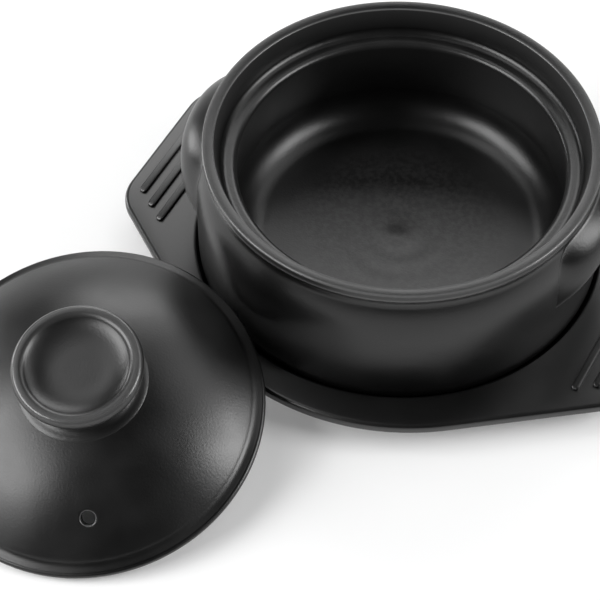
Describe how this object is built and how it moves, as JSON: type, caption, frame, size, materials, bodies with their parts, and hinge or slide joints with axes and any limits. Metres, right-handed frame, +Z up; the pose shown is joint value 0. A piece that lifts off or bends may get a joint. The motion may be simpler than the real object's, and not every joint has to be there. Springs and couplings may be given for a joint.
{
  "type": "stoneware pot with lid and serving tray",
  "caption": "Round black stoneware stew pot with stepped rim and ear lugs, standing in a winged serving tray, with its domed, knobbed and vented lid leaning beside it.",
  "frame": {"origin": "centre of the tray's flat underside, on the table", "axes": "+Z up, +X along the tray's wings, -Y towards the side on which the lid leans"},
  "size_m": [0.2707, 0.324, 0.0762],
  "materials": {
    "satin_glaze": "black satin glaze, slightly grainy",
    "melamine": "moulded black melamine, fine satin"
  },
  "bodies": {
    "tray": {"tray": "melamine"},
    "pot": {"pot_body": "satin_glaze", "left_lug": "satin_glaze", "right_lug": "satin_glaze"},
    "lid": {"lid_dome": "satin_glaze", "lid_knob": "satin_glaze"}
  },
  "joints": [
    {"name": "pot_lift", "type": "slide", "parent": "tray", "child": "pot", "axis": [0, 0, 1], "range_m": [0, 0.1]},
    {"name": "lid_lift", "type": "slide", "parent": "tray", "child": "lid", "axis": [0, 0, 1], "range_m": [0, 0.15]}
  ]
}
